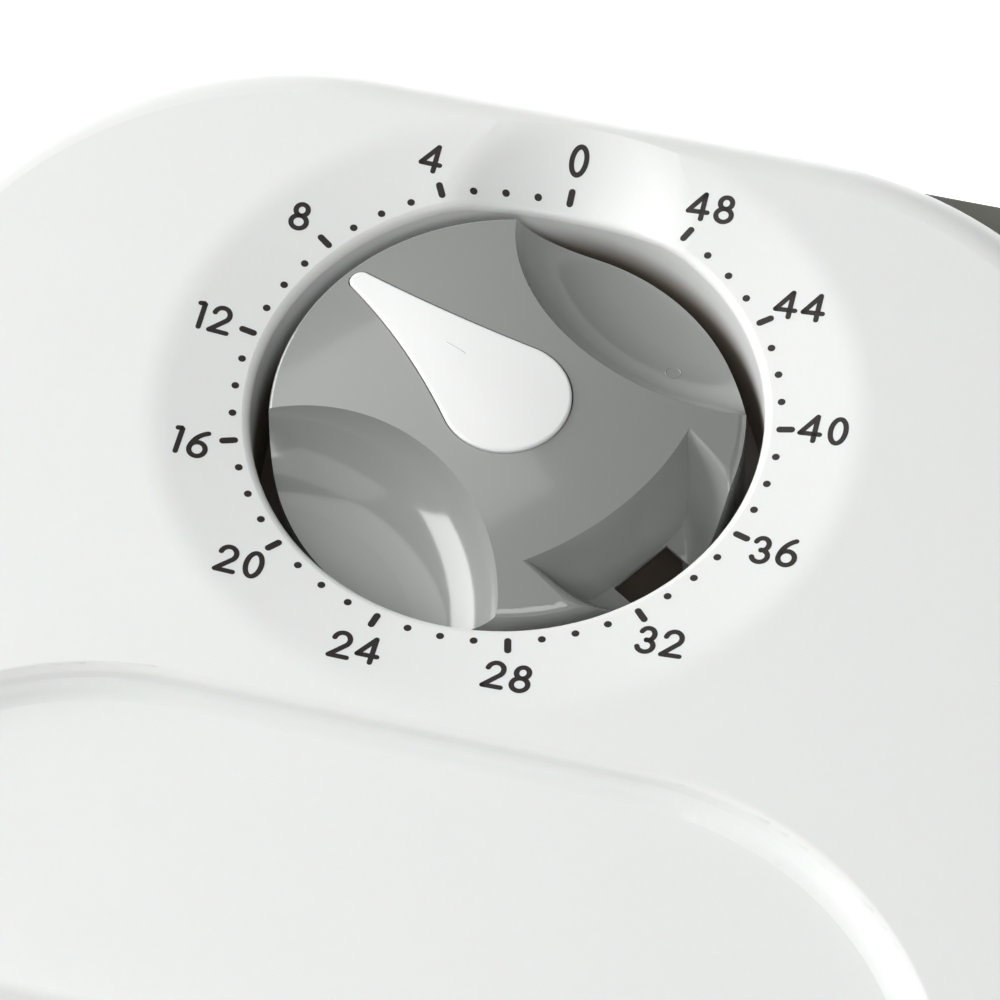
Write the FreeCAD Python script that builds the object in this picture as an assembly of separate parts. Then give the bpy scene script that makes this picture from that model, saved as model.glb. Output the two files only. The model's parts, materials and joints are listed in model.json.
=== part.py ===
import FreeCAD, Part
import os
from math import acos, atan2, cos, degrees, hypot, pi, radians, sin, sqrt, tan

# A free-standing dial timer: a white cover with a dish-shaped dial and a knob, on a dark grey tray.
# Millimetres. The origin is on the surface it stands on, at the middle of its outline. +Z is up, and
# +Y is towards the 0 of the scale. Heights marked "top" are measured down from the cover's flat top.

V = FreeCAD.Vector
UP = V(0, 0, 1)

# ---------------------------------------------------------------- driving dimensions
flat_top = 44.0                  # height of the cover's flat top
cover_half_width = 69.2
cover_half_depth = 62.0
cover_back_radius = 45.4
cover_front_radius = 22.0
cover_edge_round = 6.0
wall = 2.4
skirt_bottom = 22.0              # lower edge of the cover, inside the tray
dial_y = 22.0                    # the dial's axis stands behind the middle

tray_flange = 3.0                # how far the tray stands out past the cover
tray_shoulder_radius = 24.0      # the right-hand back corner of the tray stands out as a shoulder
tray_top = 34.3
tray_bottom = 2.0
tray_floor = 4.2
cover_clearance = 0.4

divisions = 52                   # divisions in one turn of the scale, of which 0 to 48 are used
unit_angle = 360.0 / divisions
rest_reading = 8.15              # where the pointer stands in the model
scale_turn = 0.82                # the scale and the knob stand a little anticlockwise of the cover

dish_radius = 36.0
dish_slope = 7.5                 # degrees
dish_edge_round = 20.0
dip_y = 21.0                     # the dip at 0 is a shallow cone about this point, from the dial's axis
dip_depth = 5.6
dip_slope = 19.9
dip_round = 12.0
well_radius = 26.3
well_lip_round = 0.9
well_floor_top = 27.5
well_floor_bottom = 25.5

basin_half_width = 58.8
basin_back = -40.6               # from the dial's axis
basin_radius = 35.4
basin_front = -75.5
basin_front_radius = 7.0
basin_depth = 1.7
basin_slope_width = 1.7
basin_lip_round = 1.4
basin_floor_round = 3.0

knob_radius = 24.4
knob_rim = 42.2                  # height of the knob's top at its rim
knob_crown = 2.7                 # how much higher its middle is
knob_rim_round = 0.4
knob_bottom = 28.9
knob_cavity_top = 34.6
knob_cavity_radius = 22.3
hub_radius = 7.0
shaft_radius = 3.0
pointer_angle = 90.0 + scale_turn + rest_reading * unit_angle
recess_distance = 36.0           # the finger recesses are round bowls about a point outside the knob
recess_radius = 26.25
recess_floor_radius = 17.0
recess_floor_z = 37.1
recess_edge_z = 44.5             # height at which the bowl is as wide as recess_radius

release_wall_crest = 17.2        # the release notch starts at a steep curved wall; its middle is this far out
release_wall_curve = 30.0
release_wall_lean = 0.30
release_wall_z = (34.95, 43.2)
release_half_width = 3.7         # the opening at the bottom of the notch
release_opening_start = 19.6
groove_reach = 11.0              # the notch's sides reach the knob's top this far from its middle line
groove_start = 17.0              # the sides are steep here, by the wall, and flatter at the rim
groove_slope = 2.4
groove_rim_slope = 1.15
groove_blend = 1.6
brow_start = 23.5                # the rim rolls over from here, beside the notch
brow_radius = 0.8
brow_from = 14.0
brow_ease = 4.0
notch_start = 12.0               # the notch's surface is laid through points this far apart
notch_step = 0.6
notch_rows = 25
notch_columns = 35

running_gap = 0.05               # radial clearance of a shaft in its hole


# ---------------------------------------------------------------- helpers
def box(x0, x1, y0, y1, z0, z1):
    return Part.makeBox(x1 - x0, y1 - y0, z1 - z0, V(x0, y0, z0))


def rod(radius, z0, z1, x=0.0, y=0.0):
    return Part.makeCylinder(radius, z1 - z0, V(x, y, z0), UP)


def tube(outer, inner, z0, z1, x=0.0, y=0.0):
    return rod(outer, z0, z1, x, y).cut(rod(inner, z0 - 1, z1 + 1, x, y))


def fuse(first, *others):
    return first.fuse(list(others)).removeSplitter()


def cut(first, *others):
    return first.cut(list(others))


def solid_of(face, height):
    return face.extrude(V(0, 0, height))


def rounded_outline(x0, x1, y0, y1, radii, z):
    """A closed outline; radii are those of the corners back right, back left, front left, front right."""
    corners = [(x1, y1, radii[0], 0), (x0, y1, radii[1], 90),
               (x0, y0, radii[2], 180), (x1, y0, radii[3], 270)]
    arcs = []
    for x, y, radius, start in corners:
        cx = x - radius if x == x1 else x + radius
        cy = y - radius if y == y1 else y + radius
        points = [V(cx + radius * cos(radians(start + a)), cy + radius * sin(radians(start + a)), z)
                  for a in (0, 45, 90)]
        arcs.append(Part.Arc(*points).toShape())
    edges = []
    for index, arc in enumerate(arcs):
        following = arcs[(index + 1) % 4]
        edges.append(arc)
        start = arc.valueAt(arc.LastParameter)
        end = following.valueAt(following.FirstParameter)
        edges.append(Part.LineSegment(start, end).toShape())
    return Part.Wire(edges)


def slab(x0, x1, y0, y1, radii, z0, z1):
    outline = rounded_outline(x0, x1, y0, y1, radii, z0)
    return solid_of(Part.Face(outline), z1 - z0)


def edges_near(shape, test):
    """The edges of a shape whose middle point passes a test."""
    chosen = []
    for edge in shape.Edges:
        middle = edge.valueAt((edge.FirstParameter + edge.LastParameter) / 2)
        if test(middle, edge):
            chosen.append(edge)
    return chosen


def on_dial(shape):
    """Moves a shape made about the origin to the dial's axis."""
    moved = shape.copy()
    moved.translate(V(0, dial_y, 0))
    return moved


def turned(shape, angle):
    moved = shape.copy()
    moved.rotate(V(0, 0, 0), UP, angle)
    return moved


def at_polar(radius, angle):
    return radius * cos(radians(angle)), radius * sin(radians(angle))


def write(name, shape):
    solids = shape.Solids
    result = solids[0] if len(solids) == 1 else Part.makeCompound(solids)
    if not result.isValid():
        print("not valid:", name)
    result.exportStep("parts/" + name + ".step")
    print(name, len(solids), round(result.Volume, 1))


def spur_wheel(module, teeth, z0, z1, phase=0.0, addendum=0.70, dedendum=1.0, backlash=0.09):
    """A spur wheel about the origin with involute teeth; one tooth is centred on the phase angle."""
    pitch_radius = module * teeth / 2
    base_radius = pitch_radius * cos(radians(20))
    tip_radius = pitch_radius + addendum * module
    root_radius = pitch_radius - dedendum * module
    half_tooth = (pi * module / 2 - backlash) / 2 / pitch_radius
    involute_at_pitch = tan(radians(20)) - radians(20)

    def half_angle(radius):
        if radius <= base_radius:
            return half_tooth + involute_at_pitch
        pressure = acos(base_radius / radius)
        return half_tooth + involute_at_pitch - (tan(pressure) - pressure)

    flank_start = max(root_radius, base_radius)
    steps = 4
    radii = [flank_start + (tip_radius - flank_start) * i / steps for i in range(steps + 1)]
    if root_radius < base_radius:
        radii.insert(0, root_radius)
    points = []
    for tooth in range(teeth):
        middle = radians(phase) + 2 * pi * tooth / teeth
        right = [(radius, middle - half_angle(radius)) for radius in radii]
        left = [(radius, middle + half_angle(radius)) for radius in reversed(radii)]
        points += right + left
    corners = [V(radius * cos(angle), radius * sin(angle), z0) for radius, angle in points]
    face = Part.Face(Part.makePolygon(corners + corners[:1]))
    return solid_of(face, z1 - z0)


# ---------------------------------------------------------------- the cover
def cover_plan(offset, z0, z1):
    """The cover's outline, drawn in by offset."""
    back = cover_back_radius - offset
    front = cover_front_radius - offset
    return slab(-cover_half_width + offset, cover_half_width - offset,
                -cover_half_depth + offset, cover_half_depth - offset, (back, back, front, front), z0, z1)


def basin_pocket(grow):
    """The front basin: a shallow D-shaped pocket with sloping sides."""
    low = flat_top - basin_depth
    high = flat_top + basin_depth
    far_front = dial_y + basin_front - 80
    wires = []
    for z, spread in ((low, 0.0), (high, 2 * basin_slope_width)):
        out = spread + grow
        half = basin_half_width + out
        wires.append(rounded_outline(-half, half, far_front, dial_y + basin_back + out,
                                     (basin_radius + out,) * 4, z))
    pocket = Part.makeLoft(wires, True, True)
    front_low = dial_y + basin_front - grow
    front_high = front_low - 2 * basin_slope_width
    back = dial_y + basin_back + 50
    side = [V(-200, front_low, low), V(-200, front_high, high), V(-200, back, high), V(-200, back, low)]
    keep = Part.Face(Part.makePolygon(side + side[:1])).extrude(V(400, 0, 0))
    return pocket.common(keep)


def basin_cutter():
    """The basin's pocket with its two front corners rounded."""
    pocket = basin_pocket(0)
    front_y = dial_y + basin_front

    def is_front_corner(p, e):
        return abs(p.z - flat_top) < basin_depth - 0.5 and front_y - 2 * basin_slope_width - 1 < p.y < front_y + 1

    return pocket.makeFillet(basin_front_radius, edges_near(pocket, is_front_corner))


def dish_cutter():
    """The dial is a shallow cone that opens upwards, with a soft outer edge."""
    slope = radians(dish_slope)
    tangent = dish_edge_round * tan(slope / 2)
    inner = V(dish_radius - tangent * cos(slope), 0, flat_top - tangent * sin(slope))
    outer = V(dish_radius + tangent, 0, flat_top)
    middle = V(outer.x - dish_edge_round * sin(slope / 2), 0,
               flat_top - dish_edge_round * (1 - cos(slope / 2)))
    apex = V(0, 0, flat_top - dish_radius * tan(slope))
    above = 5.0
    edges = [
        Part.LineSegment(apex, inner).toShape(),
        Part.Arc(inner, middle, outer).toShape(),
        Part.LineSegment(outer, outer + V(0, 0, above)).toShape(),
        Part.LineSegment(outer + V(0, 0, above), V(0, 0, flat_top + above)).toShape(),
        Part.LineSegment(V(0, 0, flat_top + above), apex).toShape(),
    ]
    return on_dial(Part.Face(Part.Wire(edges)).revolve(V(0, 0, 0), UP, 360))


def dip_cutter():
    """The dip at 0 is a second, steeper cone about a point between the dial's axis and the 0."""
    extra = 4.0
    height = dip_depth + extra
    cone = Part.makeCone(0, height / tan(radians(dip_slope)), height, V(0, dip_y, flat_top - dip_depth), UP)
    return on_dial(cone)


boss_places = [(-42.0, 40.0), (42.0, 40.0), (-42.0, -48.0), (42.0, -48.0)]
case_x = (-36.0, 27.0)
case_y = (-31.0, 28.0)
case_corner = 4.0
case_screw_places = [(-32.9, -27.9), (23.9, -27.9), (-32.9, 24.9), (23.9, 24.9)]
case_bottom_z = 5.2
case_floor_top = 6.8
case_joint_z = 19.8
case_top_z = 21.2


def make_top_face_block():
    """A block whose top has the basin, the dish, the dip and the well, with their edges rounded."""
    margin = 25.0
    block = box(-cover_half_width - margin, cover_half_width + margin, -cover_half_depth - margin,
                cover_half_depth + margin, skirt_bottom, flat_top)
    block = block.cut(basin_cutter())
    for level, round_radius in ((flat_top - basin_depth, basin_floor_round), (flat_top, basin_lip_round)):
        found = edges_near(block, lambda p, e: abs(p.z - level) < 0.01 and abs(p.x) < cover_half_width
                           and -cover_half_depth < p.y < dial_y + basin_back + 5)
        block = block.makeFillet(round_radius, found)
    block = block.cut(dish_cutter())
    block = block.cut(dip_cutter())

    def is_dip_edge(p, e):
        distance = hypot(p.x, p.y - dial_y - dip_y)
        height = flat_top - dip_depth + distance * tan(radians(dip_slope))
        return abs(p.z - height) < 0.02 and p.z < flat_top + 0.01

    block = block.makeFillet(dip_round, edges_near(block, is_dip_edge))
    block = block.cut(on_dial(rod(well_radius, well_floor_top, flat_top + 5)))
    lip_lowest = flat_top - 6

    def is_lip(p, e):
        return p.z > lip_lowest and abs(hypot(p.x, p.y - dial_y) - well_radius) < 0.05

    return block.makeFillet(well_lip_round, edges_near(block, is_lip))


def make_top_cover():
    outer = cover_plan(0, skirt_bottom, flat_top)
    rim = edges_near(outer, lambda p, e: abs(p.z - flat_top) < 0.01)
    outer = outer.makeFillet(cover_edge_round, rim)
    outer = outer.common(make_top_face_block())

    cavity = cover_plan(wall, skirt_bottom - 1, flat_top - wall)
    under_basin = basin_pocket(wall)
    under_basin.translate(V(0, 0, -wall))
    under_dish = on_dial(rod(dish_radius + 4, flat_top - 5.9, flat_top))
    around_well = on_dial(rod(well_radius + wall, well_floor_bottom, flat_top))
    cavity = cut(cavity, under_basin, under_dish, around_well)
    cover = outer.cut(cavity)

    additions = []
    for x, y in boss_places:
        under_top = flat_top - wall if y > 0 else flat_top - basin_depth - wall
        additions.append(rod(4.0, 10.0, under_top + 0.5, x, y))
    for x, y in case_screw_places:
        additions.append(rod(3.2, case_top_z, flat_top - wall + 0.5, x, y + dial_y))
    cover = fuse(cover, *additions)
    holes = [on_dial(rod(shaft_radius + 1.5, well_floor_bottom - 1, well_floor_top + 1))]
    for x, y in boss_places:
        holes.append(rod(1.25, 9.0, 24.0, x, y))
    for x, y in case_screw_places:
        holes.append(rod(1.0, case_top_z - 1, case_top_z + 8, x, y + dial_y))
    return cut(cover, *holes)


# ---------------------------------------------------------------- the tray and what fastens it
door_x = 30.0
door_back = -24.6
door_front = -46.4
door_gap = 0.3
door_thickness = 1.3
battery_y = -35.5
battery_z = 12.4
battery_radius = 7.1
battery_half_length = 24.5
foot_places = [(-54.0, 41.5), (52.0, 50.0), (-52.0, -50.0), (52.0, -50.0)]
foot_radius = 6.0


def make_base_tray():
    half_width = cover_half_width + tray_flange
    half_depth = cover_half_depth + tray_flange
    back = cover_back_radius + tray_flange
    front = cover_front_radius + tray_flange
    outer = slab(-half_width, half_width, -half_depth, half_depth,
                 (tray_shoulder_radius, back, front, front), tray_bottom, tray_top)
    lower_rim = edges_near(outer, lambda p, e: abs(p.z - tray_bottom) < 0.01)
    outer = outer.makeFillet(3.0, lower_rim)
    upper_rim = edges_near(outer, lambda p, e: abs(p.z - tray_top) < 0.01)
    outer = outer.makeFillet(0.8, upper_rim)
    seat = cover_plan(-cover_clearance, skirt_bottom, tray_top + 1)
    hollow = cover_plan(wall, tray_floor, skirt_bottom + 1)
    tray = cut(outer, seat, hollow)

    additions = []
    for x, y in boss_places:
        additions.append(rod(5.0, tray_bottom + 0.5, 9.9, x, y))
    for side in (-1, 1):
        inner = side * (battery_half_length + 2.4)
        end = side * (battery_half_length + 4.6)
        additions.append(box(min(inner, end), max(inner, end), battery_y - 8.4, battery_y + 8.4,
                             tray_floor - 0.5, battery_z + 5.5))
        for slot_side in (-1, 1):
            y0 = battery_y + slot_side * 8.4
            y1 = battery_y + slot_side * 6.6
            x0 = side * (battery_half_length + 1.0)
            additions.append(box(min(x0, inner), max(x0, inner), min(y0, y1), max(y0, y1),
                                 tray_floor - 0.5, battery_z + 5.5))
    for x in (-14.0, 14.0):
        for side in (-1, 1):
            y0 = battery_y + side * (battery_radius + 0.4)
            y1 = battery_y + side * (battery_radius + 2.0)
            additions.append(box(x - 4, x + 4, min(y0, y1), max(y0, y1), tray_floor - 0.5, battery_z + 2))
    for x in board_posts:
        additions.append(rod(2.2, tray_floor - 0.5, board_bottom, x, board_y))
    tray = fuse(tray, *additions)

    holes = []
    for x, y in boss_places:
        holes.append(rod(1.7, 0, 12, x, y))
        holes.append(rod(3.4, 0, 5.2, x, y))
    for x, y in foot_places:
        holes.append(rod(foot_radius, 0, tray_bottom + 0.8, x, y))
    holes.append(box(-door_x - door_gap, door_x + door_gap, door_front - door_gap, door_back + door_gap,
                     0, tray_bottom + door_thickness))
    holes.append(box(-battery_half_length - 1.0, battery_half_length + 1.0, battery_y - battery_radius - 0.4,
                     battery_y + battery_radius + 0.4, 0, tray_floor + 1))
    holes.append(box(-4.2, 4.2, door_front - 1.6, battery_y, 0, tray_floor + 1))
    for x in board_posts:
        holes.append(rod(0.8, board_bottom - 4, board_bottom + 1, x, board_y))
    for index in range(5):
        x = buzzer_x + (index - 2) * 3.0
        holes.append(box(x - 0.7, x + 0.7, board_y - 5.0, board_y + 5.0, 0, tray_floor + 1))
    return cut(tray, *holes)


def make_rubber_feet():
    feet = []
    for x, y in foot_places:
        foot = rod(foot_radius - 0.05, 0, tray_bottom + 0.8, x, y)
        lower = edges_near(foot, lambda p, e: p.z < 0.01)
        feet.append(foot.makeFillet(0.6, lower))
    return Part.makeCompound(feet)


def pan_screw(head_radius, head_height, thread_radius, length):
    """A screw with its head down, its seat at z = 0 and its thread upwards."""
    head = rod(head_radius, -head_height, 0)
    head = head.makeFillet(head_height * 0.6, edges_near(head, lambda p, e: p.z < -head_height + 0.01))
    shank = rod(thread_radius, 0, length)
    screw = fuse(head, shank)
    slot_half = head_radius * 0.62
    cross = fuse(box(-slot_half, slot_half, -0.3, 0.3, -head_height - 1, -head_height * 0.35),
                 box(-0.3, 0.3, -slot_half, slot_half, -head_height - 1, -head_height * 0.35))
    return screw.cut(cross)


def screws(places, seat_z, head_radius, head_height, thread_radius, length):
    group = []
    for x, y in places:
        screw = pan_screw(head_radius, head_height, thread_radius, length)
        screw.translate(V(x, y, seat_z))
        group.append(screw)
    return Part.makeCompound(group)


def make_battery_door():
    """A flat door with a round hinge edge at the back and a snap tab with a finger notch at the front."""
    top = tray_bottom + door_thickness - 0.2
    radius = (top - tray_bottom) / 2
    plate = box(-door_x, door_x, door_front, door_back - radius, tray_bottom, top)
    edge = Part.makeCylinder(radius, 2 * door_x, V(-door_x, door_back - radius, tray_bottom + radius), V(1, 0, 0))
    tab = box(-3.6, 3.6, door_front + 0.2, door_front + 1.4, top - 0.2, top + 1.9)
    catch = box(-3.6, 3.6, door_front - 1.2, door_front + 0.3, tray_floor + 0.25 + 0.25, top + 2.6)
    catch = catch.fuse(box(-3.6, 3.6, door_front + 0.2, door_front + 1.4, top - 0.2, top + 2.6))
    door = fuse(plate, edge, tab, catch)
    ribs = [box(x - 0.35, x + 0.35, door_front + 8.0, door_front + 14.0, tray_bottom - 1, tray_bottom + 0.3)
            for x in (-4.0, -2.0, 0.0, 2.0, 4.0)]
    return cut(door, *ribs)


# ---------------------------------------------------------------- the knob and what turns with it
def knob_placed(shape):
    return on_dial(turned(shape, pointer_angle))


def make_finger_recess():
    """A round bowl with a nearly flat floor; its middle is outside the knob, so it cuts in from the rim."""
    run = recess_radius - recess_floor_radius
    depth = recess_edge_z - recess_floor_z
    arc_radius = (run * run + depth * depth) / (2 * depth)
    floor_z = recess_floor_z
    half_turn = atan2(run, arc_radius - depth) / 2
    middle = V(recess_floor_radius + arc_radius * sin(half_turn), 0,
               floor_z + arc_radius * (1 - cos(half_turn)))
    start = V(recess_floor_radius, 0, floor_z)
    end = V(recess_radius, 0, recess_edge_z)
    slope = atan2(run, arc_radius - depth)
    above = V(recess_radius + 3 * cos(slope), 0, recess_edge_z + 3 * sin(slope))
    edges = [
        Part.LineSegment(V(0, 0, floor_z), start).toShape(),
        Part.Arc(start, middle, end).toShape(),
        Part.LineSegment(end, above).toShape(),
        Part.LineSegment(above, V(0, 0, above.z)).toShape(),
        Part.LineSegment(V(0, 0, above.z), V(0, 0, floor_z)).toShape(),
    ]
    bowl = Part.Face(Part.Wire(edges)).revolve(V(0, 0, 0), UP, 360)
    bowl.translate(V(recess_distance, 0, 0))
    return bowl


def dome_radius():
    return (knob_radius * knob_radius + knob_crown * knob_crown) / (2 * knob_crown)


def dome_height(r):
    """Height of the knob's crowned top at a distance from its axis."""
    return knob_rim + knob_crown - dome_radius() + sqrt(dome_radius() ** 2 - r * r)


def dome(grow):
    """A ball whose top is the knob's crown, raised by grow."""
    radius = dome_radius() + grow
    return Part.makeSphere(radius, V(0, 0, knob_rim + knob_crown - dome_radius()))


def eased(t):
    """Rises smoothly from 0 to 1."""
    t = min(1.0, max(0.0, t))
    return t * t * (3 - 2 * t)


def smooth_lower(a, b, blend):
    """The lower of two heights, with a rounded change from one to the other."""
    return min(a, b) - max(blend - abs(a - b), 0) ** 2 / (4 * blend)


def notch_height(u, v):
    """Height of the knob's surface beside the notch; u runs out along its middle line, v across it."""
    r = hypot(u, v)
    floor_z, top_z = release_wall_z
    clear_of_crown = 0.012
    brow = max(0, r - brow_start) ** 2 / (2 * brow_radius) * eased((u - brow_from) / brow_ease)
    shoulder = dome_height(r) + clear_of_crown - brow
    outward = eased((u - groove_start) / (knob_radius - groove_start))
    slope = groove_slope + (groove_rim_slope - groove_slope) * outward
    side = top_z - slope * (groove_reach - abs(v))
    groove = -smooth_lower(-side, -floor_z, groove_blend)
    return smooth_lower(shoulder, groove, groove_blend)


def make_release_notch():
    """What is taken from the knob's top for the notch, with the notch along +X."""
    rows = []
    for i in range(notch_rows):
        u = notch_start + i * notch_step
        rows.append([V(u, j * notch_step, notch_height(u, j * notch_step))
                     for j in range(-notch_columns, notch_columns + 1)])
    surface = Part.BSplineSurface()
    surface.interpolate(rows)
    above = surface.toShape().extrude(V(0, 0, knob_radius))
    low, high = release_wall_z
    spare = 4.0
    foot = release_wall_curve + (high - low + spare) * release_wall_lean
    head = release_wall_curve - spare * release_wall_lean
    wall_side = Part.makeCone(foot, head, high - low + 2 * spare,
                              V(release_wall_crest - release_wall_curve, 0, low - spare))
    opening = box(release_opening_start, knob_radius + 3, -release_half_width, release_half_width,
                  knob_bottom - 1, high)
    return above.cut(wall_side), opening


def teardrop(grow, z0, z1):
    """A round end about the axis and a small round tip near the rim, joined by hollow sides, along +X."""
    round_radius = 6.7 + grow
    tip_radius = 1.15 + grow
    tip_x = 22.35
    leave = radians(68.0)
    arrive = radians(80.4)
    hollow = 0.55

    def side(sign):
        start = V(round_radius * cos(leave), sign * round_radius * sin(leave), z0)
        end = V(tip_x + tip_radius * cos(arrive), sign * tip_radius * sin(arrive), z0)
        middle = (start + end) / 2
        chord = end - start
        inward = V(chord.y, -chord.x, 0) / chord.Length * sign
        return start, middle + inward * hollow, end

    left, right = side(1), side(-1)
    outline = Part.Wire([
        Part.Arc(left[0], V(-round_radius, 0, z0), right[0]).toShape(),
        Part.Arc(*right).toShape(),
        Part.Arc(right[2], V(tip_x + tip_radius, 0, z0), left[2]).toShape(),
        Part.Arc(*left[::-1]).toShape(),
    ])
    return solid_of(Part.Face(outline), z1 - z0)


pointer_seat = 40.9              # the bottom of the pointer's pocket
pointer_proud = 0.25


def make_knob():
    """Made with the pointer along +X and the notch along -X, then turned to the rest reading."""
    body = rod(knob_radius, knob_bottom, knob_rim + knob_crown + 1).common(dome(0))
    rim = edges_near(body, lambda p, e: abs(p.z - knob_rim) < 0.01)
    body = body.makeFillet(knob_rim_round, rim)
    for side in (90, -90):
        body = body.cut(turned(make_finger_recess(), side))
    for taken in make_release_notch():
        body = body.cut(turned(taken, 180))
    hollow = tube(knob_cavity_radius, hub_radius, knob_bottom - 1, knob_cavity_top)
    body = body.cut(hollow)
    body = body.cut(teardrop(0.14, pointer_seat, knob_rim + knob_crown + 1))
    body = body.cut(shaft_top(knob_bottom - 1, shaft_end))
    return knob_placed(body)


def make_knob_pointer():
    inlay = teardrop(0, pointer_seat + 0.02, knob_rim + knob_crown + 1).common(dome(pointer_proud))
    rim = edges_near(inlay, lambda p, e: p.z > knob_rim and abs(p.z - dome_height(hypot(p.x, p.y))) < 0.5)
    return knob_placed(inlay.makeFillet(0.3, rim))


shaft_end = 38.0
shaft_flat_start = 29.4


def shaft_top(z0, z1):
    """The D-shaped upper end of the shaft."""
    return rod(shaft_radius, z0, z1).cut(box(shaft_radius - 0.7, 9, -9, 9, max(z0, shaft_flat_start), z1 + 1))


level_output = (17.0, 19.0)
level_third = (13.6, 15.4)
level_second = (10.4, 12.2)
cam_z = (22.2, 24.2)
cam_radius = 12.0
cam_notch_depth = 2.4
seat_radius = 6.0


def make_output_shaft():
    shaft = fuse(rod(1.6, case_floor_top - 1.2, 10.0), rod(shaft_radius, 10.0, shaft_flat_start),
                 shaft_top(shaft_flat_start, shaft_end), rod(seat_radius, 15.9, level_output[0] - 0.05))
    groove = tube(5.0, 2.4, 21.4, 21.95)
    return knob_placed(shaft.cut(groove))


def make_trip_cam():
    """A disc with one drop-off notch, which reaches the lever's nose when the pointer is at 0."""
    disc = tube(cam_radius, shaft_radius, cam_z[0], cam_z[1])
    notch_angle = lever_nose_angle + rest_reading * unit_angle
    ramp = Part.makePolygon([V(cam_radius - cam_notch_depth, -1.9, cam_z[0] - 1),
                             V(cam_radius - cam_notch_depth, 1.9, cam_z[0] - 1),
                             V(cam_radius + 2, 3.6, cam_z[0] - 1), V(cam_radius + 2, -1.9, cam_z[0] - 1),
                             V(cam_radius - cam_notch_depth, -1.9, cam_z[0] - 1)])
    notch = solid_of(Part.Face(ramp), 5)
    disc = disc.cut(turned(notch, notch_angle))
    lightening = [rod(1.8, cam_z[0] - 1, cam_z[1] + 1, *at_polar(7.2, notch_angle + a)) for a in (90, 180, 270)]
    return on_dial(cut(disc, *lightening))


def make_retaining_ring():
    ring = tube(4.6, 2.4, 21.45, 21.9)
    opening = box(1.0, 6.0, -1.7, 1.7, 21, 22.5)
    return knob_placed(ring.cut(opening))


def make_clutch_spring():
    """A three-armed friction washer, clamped to the shaft and pressing on the driven wheel."""
    z0 = level_output[1] + 0.05
    ring = tube(4.6, shaft_radius, z0, z0 + 0.35)
    arms = [turned(box(4.0, 8.6, -1.0, 1.0, z0, z0 + 0.35), a) for a in (0, 120, 240)]
    return on_dial(fuse(ring, *arms).cut(rod(shaft_radius, z0 - 1, z0 + 2)))


# ---------------------------------------------------------------- the wheels and their motor
teeth_pinion = 12
teeth_output = 72
teeth_third = 72
teeth_second = 52
module_coarse = 0.5
module_fine = 0.4
centre_third = module_coarse * (teeth_output + teeth_pinion) / 2
centre_second = module_fine * (teeth_third + teeth_pinion) / 2
centre_rotor = module_fine * (teeth_second + teeth_pinion) / 2
third_angle = 150.0
second_distance = 20.5
rotor_distance = 20.0


def angle_between(side_a, side_b, opposite):
    return degrees(acos((side_a * side_a + side_b * side_b - opposite * opposite) / (2 * side_a * side_b)))


second_angle = third_angle + angle_between(centre_third, second_distance, centre_second)
rotor_angle = second_angle + angle_between(second_distance, rotor_distance, centre_rotor)
third_place = at_polar(centre_third, third_angle)
second_place = at_polar(second_distance, second_angle)
rotor_place = at_polar(rotor_distance, rotor_angle)
pin_radius = 0.8
rotor_pin_radius = 0.5


def direction(start, end):
    return degrees(atan2(end[1] - start[1], end[0] - start[0]))


def mesh_phase(driver_phase, driver_teeth, line_angle, driven_teeth):
    """The phase that puts a gap of the driven wheel where a tooth of the driver meets it."""
    pitch_driver = 360.0 / driver_teeth
    pitch_driven = 360.0 / driven_teeth
    offset = (line_angle - driver_phase) / pitch_driver
    return line_angle + 180.0 + (offset - 0.5) * pitch_driven


def on_arbor(shape, place):
    moved = shape.copy()
    moved.translate(V(place[0], place[1] + dial_y, 0))
    return moved


def spokes(outer, inner, count, z0, z1):
    """Round lightening holes between a wheel's hub and its rim."""
    middle = (outer + inner) / 2
    radius = (outer - inner) / 2
    return [rod(radius, z0 - 1, z1 + 1, *at_polar(middle, 360.0 * i / count)) for i in range(count)]


third_pinion_phase = mesh_phase(0.0, teeth_output, direction((0, 0), third_place), teeth_pinion)
second_pinion_phase = mesh_phase(0.0, teeth_third, direction(third_place, second_place), teeth_pinion)
rotor_pinion_phase = mesh_phase(0.0, teeth_second, direction(second_place, rotor_place), teeth_pinion)


def make_output_wheel():
    z0, z1 = level_output
    wheel = spur_wheel(module_coarse, teeth_output, z0, z1)
    bore = rod(shaft_radius + running_gap, z0 - 1, z1 + 1)
    return on_dial(cut(wheel, bore, *spokes(16.0, 9.4, 6, z0, z1)))


def make_third_wheel():
    wheel = spur_wheel(module_fine, teeth_third, *level_third)
    wheel = cut(wheel, *spokes(12.6, 4.6, 5, *level_third))
    pinion = spur_wheel(module_coarse, teeth_pinion, level_third[1] - 0.5, level_output[1] + 0.2,
                        third_pinion_phase)
    body = fuse(wheel, pinion, rod(2.2, 8.5, level_third[0] + 0.5))
    return on_arbor(body.cut(rod(pin_radius + running_gap, 5, 25)), third_place)


def make_second_wheel():
    wheel = spur_wheel(module_fine, teeth_second, *level_second)
    wheel = cut(wheel, *spokes(8.8, 3.6, 5, *level_second))
    pinion = spur_wheel(module_fine, teeth_pinion, level_second[1] - 0.5, level_third[1] + 0.2,
                        second_pinion_phase)
    body = fuse(wheel, pinion, rod(2.0, 8.5, level_second[0] + 0.5))
    return on_arbor(body.cut(rod(pin_radius + running_gap, 5, 25)), second_place)


magnet_z = (7.4, 9.4)
magnet_radius = 2.9


def make_rotor():
    pinion = spur_wheel(module_fine, teeth_pinion, 9.9, level_second[1] + 0.3, rotor_pinion_phase)
    body = fuse(pinion, rod(1.3, magnet_z[0], 10.2))
    return on_arbor(body.cut(rod(rotor_pin_radius + running_gap, 5, 25)), rotor_place)


def make_rotor_magnet():
    return on_arbor(tube(magnet_radius, 1.3, *magnet_z), rotor_place)


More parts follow.
